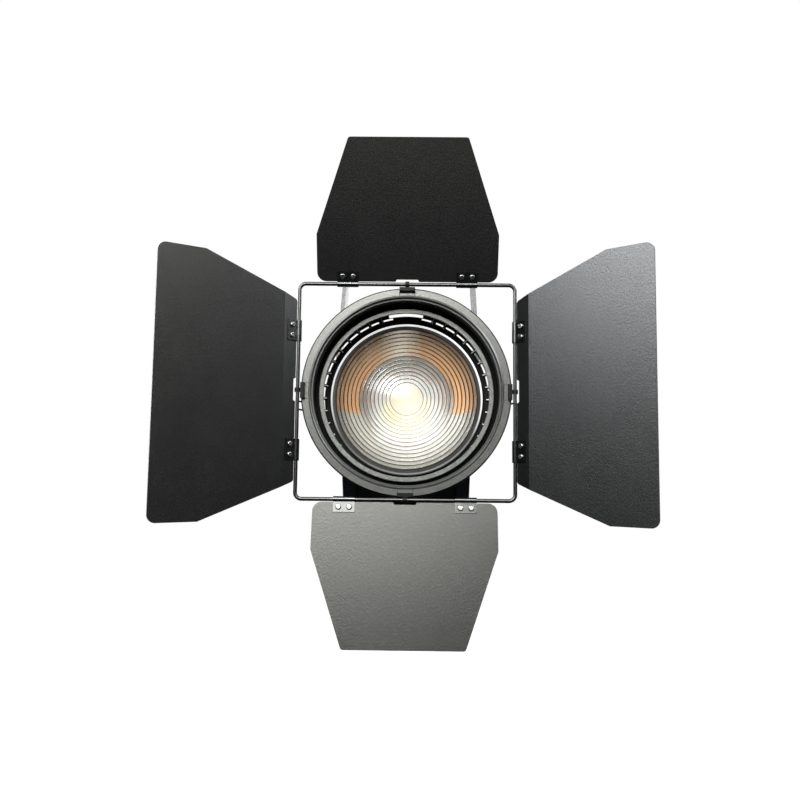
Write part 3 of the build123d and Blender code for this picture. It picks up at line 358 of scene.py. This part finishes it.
LOOKS = [
    # The leaves' edges are rubbed lightest: wear, and a painted highlight along their rims.
    (powder_coat("leaf_coat", 0.0022, 0.29, 1.0 * MM, 0.07 * MM, COOL, 0.5), LEAF),
    # On the ring and the bezel the paint is black deeper than the face given: painted shade in the
    # groove, the recesses and behind the ring's rolled edge.
    (powder_coat("ring_coat", 0.028, 0.31, relief=0.05 * MM, tint=GREEN, specular=0.9,
                 face=RING_FACE + 0.35 * MM), ["barndoor_ring"]),
    (powder_coat("bezel_coat", 0.09, 0.3, tint=GREEN, specular=0.7, edge_wear_and_highlight=0.1,
                 face=BEZEL_FACE + 1.0 * MM), ["front_bezel"]),
    (powder_coat("barrel_coat", 0.012, 0.42), ["barrel", "bulkhead", "ring_hooks", "latch_block"]),
    (powder_coat("housing_coat", 0.022, 0.44, tint=COOL), ["rear_housing", "rear_cover"]),
    (powder_coat("box_coat", 0.006, 0.4), ["driver_box"]),
    (powder_coat("rail_coat", 0.022, 0.36, tint=(0.9, 0.98, 1.2)), ["driver_box_rails"]),
    (powder_coat("panel_coat", 0.02, 0.45), ["control_panel"]),
    (powder_coat("yoke_coat", 0.17, 0.42, edge_wear_and_highlight=0.1), ["yoke"]),
    (bare_metal("black_oxide", 0.07, 0.22, COOL), [f"hinge_clips_{s}" for s in SIDES]),
    (powder_coat("clip_paint", 0.002, 0.5, edge_wear_and_highlight=0.15, specular=0.12), ["ring_clips"]),
    (powder_coat("boss_coat", 0.05, 0.4), ["tilt_bosses", "rod_brackets"]),
    (bare_metal("wire_steel", 0.06, 0.3, stretch=(1, 0.1, 1)), ["wire_frame"]),
    (bare_metal("screw_steel", 0.24, 0.25, (1.0, 0.98, 0.95)),
     [f"hinge_screws_{s}" for s in SIDES] + ["case_screws"]),
    (bare_metal("zinc_steel", 0.62, 0.3, (0.98, 1.0, 1.03)),
     ["pivot_bolt", "tilt_stud", "latch_pin", "safety_eye"]),
    (bare_metal("guard_wire", 0.5, 0.3), ["fan_guard"]),
    (bare_metal("ground_steel", 0.75, 0.18, stretch=(1, 0.05, 1)), ["guide_rods", "lead_screw"]),
    (bare_metal("spring_steel", 0.6, 0.3), ["lens_clips"]),
    (bare_metal("mill_aluminium", 0.8, 0.42, stretch=(0.08, 1, 1)),
     ["carriage_plate", "heat_sink"]),
    (bare_metal("copper", 0.8, 0.3, (1.0, 0.5, 0.32)), ["heat_spreader"]),
    (bare_metal("bronze", 0.6, 0.35, (1.0, 0.74, 0.4)), ["carriage_bushes", "drive_nut"]),
    (moulded("black_plastic", grey(0.022), 0.42), ["tilt_knob", "focus_knob", "dimmer_knob",
                                                   "menu_button"]),
    (moulded("fan_plastic", grey(0.016), 0.36), ["fan_frame", "fan_rotor"]),
    (moulded("socket_plastic", grey(0.014), 0.38), ["power_inlet", "power_switch"]),
    (moulded("red_plastic", (0.5, 0.015, 0.012, 1), 0.28), ["power_rocker"]),
    (moulded("fibre", (0.25, 0.17, 0.1, 1), 0.7, 1.2 * MM, 0.08 * MM), ["friction_washers"]),
    # The white frame and the liners glow: painted light standing in for the light inside the cavity; the
    # upper liner glows most, where the cavity is in shade.
    (moulded("white_frame", grey(0.8), 0.45, glow=0.4), ["cob_frame"]),
    (liner_look("copper_liner", (0.78, 0.43, 0.2), 0.4, 0.2, 0.9), ["liner_upper"]),
    (liner_look("bright_liner", (0.66, 0.65, 0.62), 0.4, 0.03), ["liner_lower"]),
    (holder_look(), ["lens_holder"]),
    (led_look(), ["cob_led"]),
    (board_look(), ["driver_board"]),
    (display_look(), ["display_window"]),
]


def paint_cad_nodes():
    for material, names in LOOKS:
        for name in names:
            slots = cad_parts[name].data.materials
            slots.clear()
            slots.append(material)


# ---- lens ----
LENS_RINGS = 14
LENS_BOSS_R = 21.7 * MM
LENS_GROOVED_R = 93.0 * MM
LENS_STEPS = 256
BOSS, SMOOTH, GROOVE, STIPPLED, GROUND = range(5)   # boss, ring faces, groove sides, back, edge


def lens_outline():
    """Half section from the axis at the front to the axis at the back: (radius, y, surface)."""
    front, back = LENS_LOW.y, LENS_HIGH.y
    rim = back - 2.8 * MM
    pitch = (LENS_GROOVED_R - LENS_BOSS_R) / LENS_RINGS
    outline = [(LENS_BOSS_R * i / 12, front + (rim - 0.8 * MM - front) * (i / 12) ** 2, BOSS)
               for i in range(12)] + [(LENS_BOSS_R, rim - 0.8 * MM, GROOVE)]
    for i in range(LENS_RINGS):
        inner = LENS_BOSS_R + pitch * i
        share = i / (LENS_RINGS - 1)
        rise = (1.3 + 0.8 * share) * MM
        shoulder = inner + pitch * (0.13 + 0.14 * share)
        crest = shoulder + 0.25 * MM
        outline += [(shoulder, rim - rise - 0.35 * MM, SMOOTH), (crest, rim - rise - 0.5 * MM, SMOOTH)]
        outline += [(crest + (inner + pitch - crest) * t, rim - rise * (1 - t ** 1.3) - 0.5 * MM, SMOOTH)
                    for t in (0.25, 0.5, 0.75)]
        outline.append((inner + pitch, rim - 0.5 * MM, GROOVE))
    outline += [(LENS_GROOVED_R + 1.5 * MM, rim, GROUND), (LENS_R - 0.4 * MM, rim, GROUND),
                (LENS_R, rim + 0.4 * MM, GROUND), (LENS_R, back - 0.3 * MM, GROUND),
                (LENS_R - 0.3 * MM, back, STIPPLED)]
    return outline + [(LENS_R * (6 - i) / 6, back, STIPPLED) for i in range(1, 7)]


def turned_mesh(name, outline, steps):
    """A closed mesh turned about the beam axis from a section that starts and ends on the axis."""
    ring = outline[1:-1]
    points = [Vector((CENTRE.x, y, CENTRE.z)) for r, y, surface in (outline[0], outline[-1])]
    for k in range(steps):
        a = 2 * pi * k / steps
        points += [Vector((CENTRE.x + r * sin(a), y, CENTRE.z + r * cos(a))) for r, y, _ in ring]
    count, faces, surfaces = len(ring), [], []
    for k in range(steps):
        here, there = 2 + k * count, 2 + (k + 1) % steps * count
        faces.append((0, there, here))
        faces += [(there + i, there + i + 1, here + i + 1, here + i) for i in range(count - 1)]
        faces.append((1, here + count - 1, there + count - 1))
        surfaces += [surface for r, y, surface in outline[:-1]]
    mesh = bpy.data.meshes.new(name)
    mesh.from_pydata(points, [], faces)
    mesh.polygons.foreach_set("material_index", surfaces)
    mesh.shade_smooth()
    mesh.set_sharp_from_angle(angle=radians(28))
    return mesh


def make_lens():
    lens = bpy.data.objects.new("lens_glass", turned_mesh("lens_glass", lens_outline(), LENS_STEPS))
    bpy.context.scene.collection.objects.link(lens)
    for material in (glass_look("boss_glass", 0.34, 14 * MM, 1.0),
                     glass_look("pressed_glass", 0.04, 14 * MM), groove_look(),
                     glass_look("stippled_glass", 0.2, 4 * MM),
                     powder_coat("ground_glass_edge", 0.02, 0.3)):
        lens.data.materials.append(material)
    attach(lens, "head")
    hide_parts("fresnel_lens")


# ---- studio ----
LIGHT_DISTANCE = 2.6
FLOOR_DROP = 0.30                  # floor below the lowest leaf, since the lamp hangs
FLOOR_R, FLOOR_SIDES = 60.0, 64


def make_floor():
    mesh = bpy.data.meshes.new("floor")
    turns = [2 * pi * i / FLOOR_SIDES for i in range(FLOOR_SIDES)]
    around = [(FLOOR_R * cos(a), FLOOR_R * sin(a), 0) for a in turns]
    mesh.from_pydata(around, [], [tuple(range(FLOOR_SIDES))])
    floor = bpy.data.objects.new("floor", mesh)
    bpy.context.scene.collection.objects.link(floor)
    floor.location = (CENTRE.x, CENTRE.y, cad_box[0].z - FLOOR_DROP)
    look = Look("floor_paint", Roughness=0.9)
    look.set("Base Color", look.mix(look.noise(0.4, 2.0), grey(0.80), grey(0.84)))
    look.set("Emission Color", grey(1.0))
    look.set("Emission Strength", 1.0)
    mesh.materials.append(look.material)
    floor.visible_glossy = False
    floor.visible_diffuse = False
    floor.visible_transmission = False


def direction(azimuth, elevation):
    """Unit vector towards a light; azimuth 0 is straight in front of the lamp, positive to +X."""
    a, e = radians(azimuth), radians(elevation)
    return Vector((sin(a) * cos(e), -cos(a) * cos(e), sin(e)))


def softbox(name, azimuth, elevation, width, height, radiance, colour=(1, 1, 1)):
    """Rectangular soft light aimed at the lamp; radiance is how bright its face looks."""
    data = bpy.data.lights.new(name, "AREA")
    data.shape, data.size, data.size_y = "RECTANGLE", width, height
    data.energy = radiance * pi * width * height
    data.color = colour
    light = bpy.data.objects.new(name, data)
    bpy.context.scene.collection.objects.link(light)
    light.location = CENTRE + direction(azimuth, elevation) * LIGHT_DISTANCE
    light.rotation_mode = "QUATERNION"
    light.rotation_quaternion = direction(azimuth, elevation).to_track_quat("Z", "Y")
    light.visible_camera = False


def make_world():
    """White to the eye; the lamp itself is lit by it only faintly."""
    world = bpy.data.worlds.new("studio")
    bpy.context.scene.world = world
    world.use_nodes = True
    tree = world.node_tree
    shown = tree.nodes["Background"]
    shown.inputs["Color"].default_value = (1, 1, 1, 1)
    ambient = tree.nodes.new("ShaderNodeBackground")
    ambient.inputs["Color"].default_value = (0.9, 0.95, 1, 1)
    ambient.inputs["Strength"].default_value = 0.04
    seen = tree.nodes.new("ShaderNodeLightPath")
    mixer = tree.nodes.new("ShaderNodeMixShader")
    tree.links.new(seen.outputs["Is Camera Ray"], mixer.inputs[0])
    tree.links.new(ambient.outputs[0], mixer.inputs[1])
    tree.links.new(shown.outputs[0], mixer.inputs[2])
    tree.links.new(mixer.outputs[0], tree.nodes["World Output"].inputs["Surface"])


def make_lights():
    warm, cool = (1.0, 1.0, 0.93), (0.95, 0.98, 1.0)
    softbox("light_front", -10, 29, 1.1, 1.5, 15.0, warm)
    softbox("light_front_right", 18, 37, 1.1, 1.2, 6.0, warm)
    softbox("light_spot", -5, 30, 0.14, 0.14, 250.0, warm)
    softbox("light_spot_right", 9, 24, 0.14, 0.14, 90.0, warm)
    softbox("light_low", 0, -7, 1.2, 0.2, 2.0, warm)
    softbox("light_left", -36, 31, 0.9, 1.4, 22.0, cool)
    softbox("light_right", 56, 33, 1.0, 1.3, 10.0, cool)
    softbox("light_back_left", -135, 22, 1.8, 1.8, 8.0)
    softbox("light_back_right", 145, 22, 1.8, 1.8, 8.0)


make_camera()
paint_cad_nodes()
make_lens()
make_floor()
make_world()
make_lights()
bpy.context.scene.view_settings.view_transform = "Standard"
